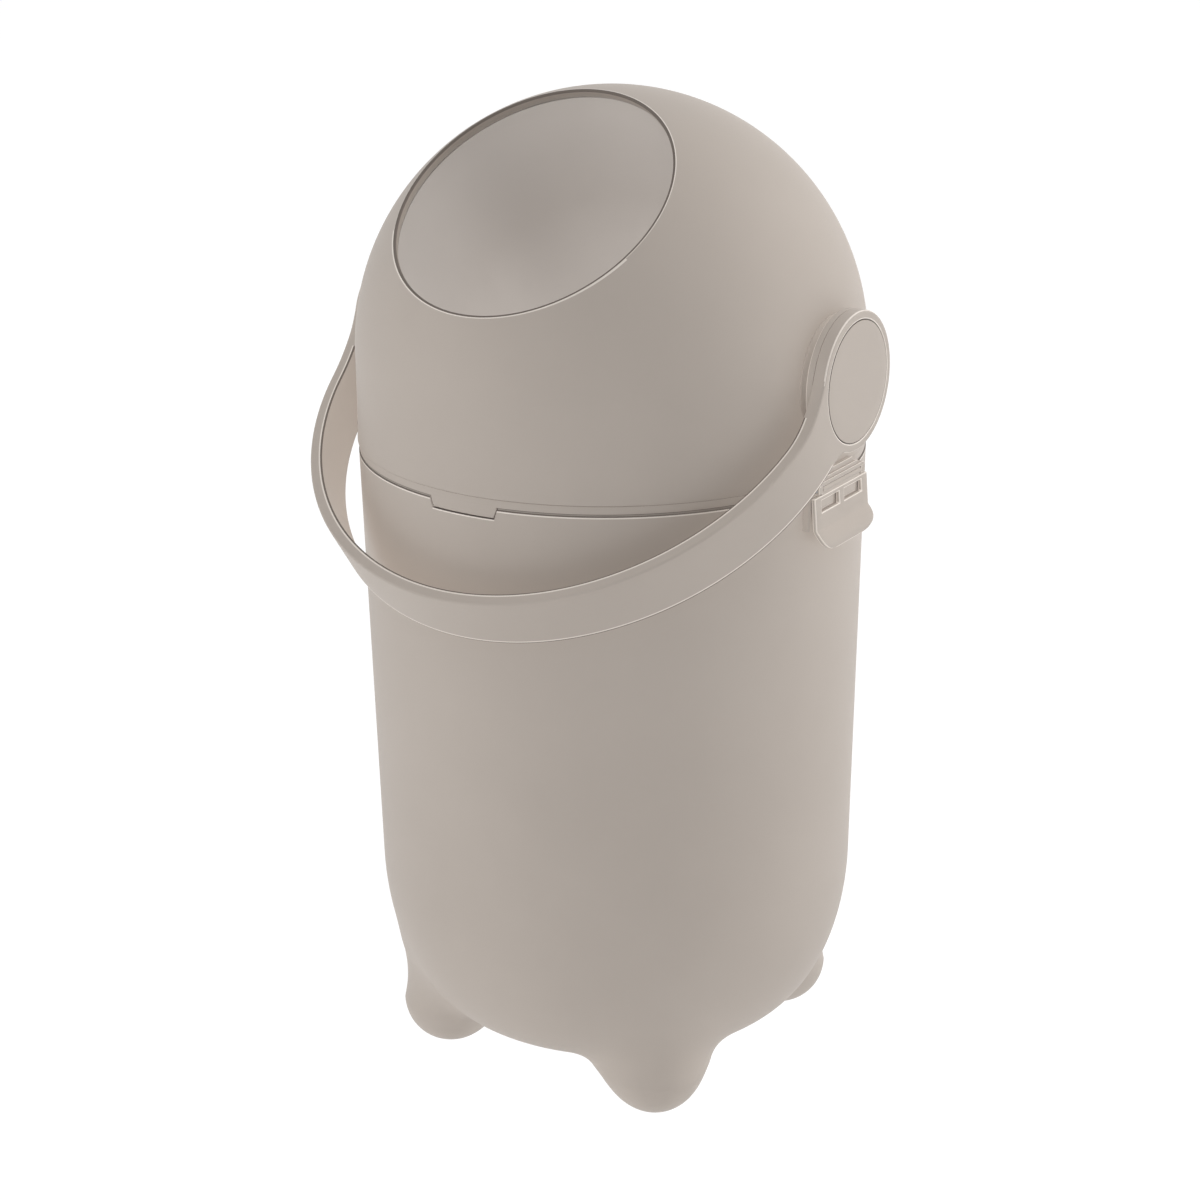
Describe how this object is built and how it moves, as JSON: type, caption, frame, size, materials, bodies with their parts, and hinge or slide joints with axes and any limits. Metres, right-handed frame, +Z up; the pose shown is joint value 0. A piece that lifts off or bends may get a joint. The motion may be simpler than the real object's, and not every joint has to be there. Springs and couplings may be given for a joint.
{
  "type": "diaper pail",
  "caption": "Tall round diaper pail on moulded feet with a dome lid, side latches and a bail handle that turns an inner drum over.",
  "frame": {"origin": "floor level, at the middle of the pail's footprint with the handle hanging in front", "axes": "+Z up along the body's axis, -Y the front where the handle hangs and the opening faces, +X the side with the right hub and latch"},
  "size_m": [0.2872, 0.2906, 0.5301],
  "materials": {
    "taupe_plastic": "fine matte texture, warm taupe",
    "cup_plastic": "smooth matte, warm taupe",
    "drum_plastic": "smooth satin, warm taupe",
    "lining_plastic": "smooth matte, a shade darker",
    "seal_rubber": "soft matte grey",
    "steel": "zinc plated",
    "bush_plastic": "natural acetal"
  },
  "bodies": {
    "pail": {"pail_body": "taupe_plastic", "bag_ring": "lining_plastic"},
    "lid": {"rim_seal": "seal_rubber", "lid_collar": "taupe_plastic", "dome_shell": "taupe_plastic", "drum_cradle": "lining_plastic", "opening_seal": "seal_rubber", "chute_seal": "seal_rubber", "collar_screws": "steel", "left_bush": "bush_plastic", "right_bush": "bush_plastic", "left_latch_bracket": "taupe_plastic", "right_latch_bracket": "taupe_plastic", "left_latch_pin": "steel", "right_latch_pin": "steel"},
    "turner": {"handle_bail": "taupe_plastic", "left_hub_back": "taupe_plastic", "right_hub_back": "taupe_plastic", "left_hub_cap": "taupe_plastic", "right_hub_cap": "taupe_plastic", "hub_screws": "steel", "left_axle": "steel", "right_axle": "steel", "drum_front": "drum_plastic", "drum_back": "drum_plastic", "drum_cup": "cup_plastic", "drum_screws": "steel"},
    "left_latch": {"left_latch": "taupe_plastic"},
    "right_latch": {"right_latch": "taupe_plastic"}
  },
  "joints": [
    {"name": "lid_lift", "type": "slide", "parent": "pail", "child": "lid", "axis": [0, 0, 1], "range_m": [0, 0.18]},
    {"name": "handle_turn", "type": "hinge", "parent": "lid", "child": "turner", "pos_m": [0, 0.01186, 0.3975], "axis": [-1, 0, 0], "range_deg": [0, 218.5]},
    {"name": "left_latch_swing", "type": "hinge", "parent": "lid", "child": "left_latch", "pos_m": [-0.135, 0.01186, 0.3466], "axis": [0, 1, 0], "range_deg": [0, 38]},
    {"name": "right_latch_swing", "type": "hinge", "parent": "lid", "child": "right_latch", "pos_m": [0.135, 0.01186, 0.3466], "axis": [0, -1, 0], "range_deg": [0, 38]}
  ]
}
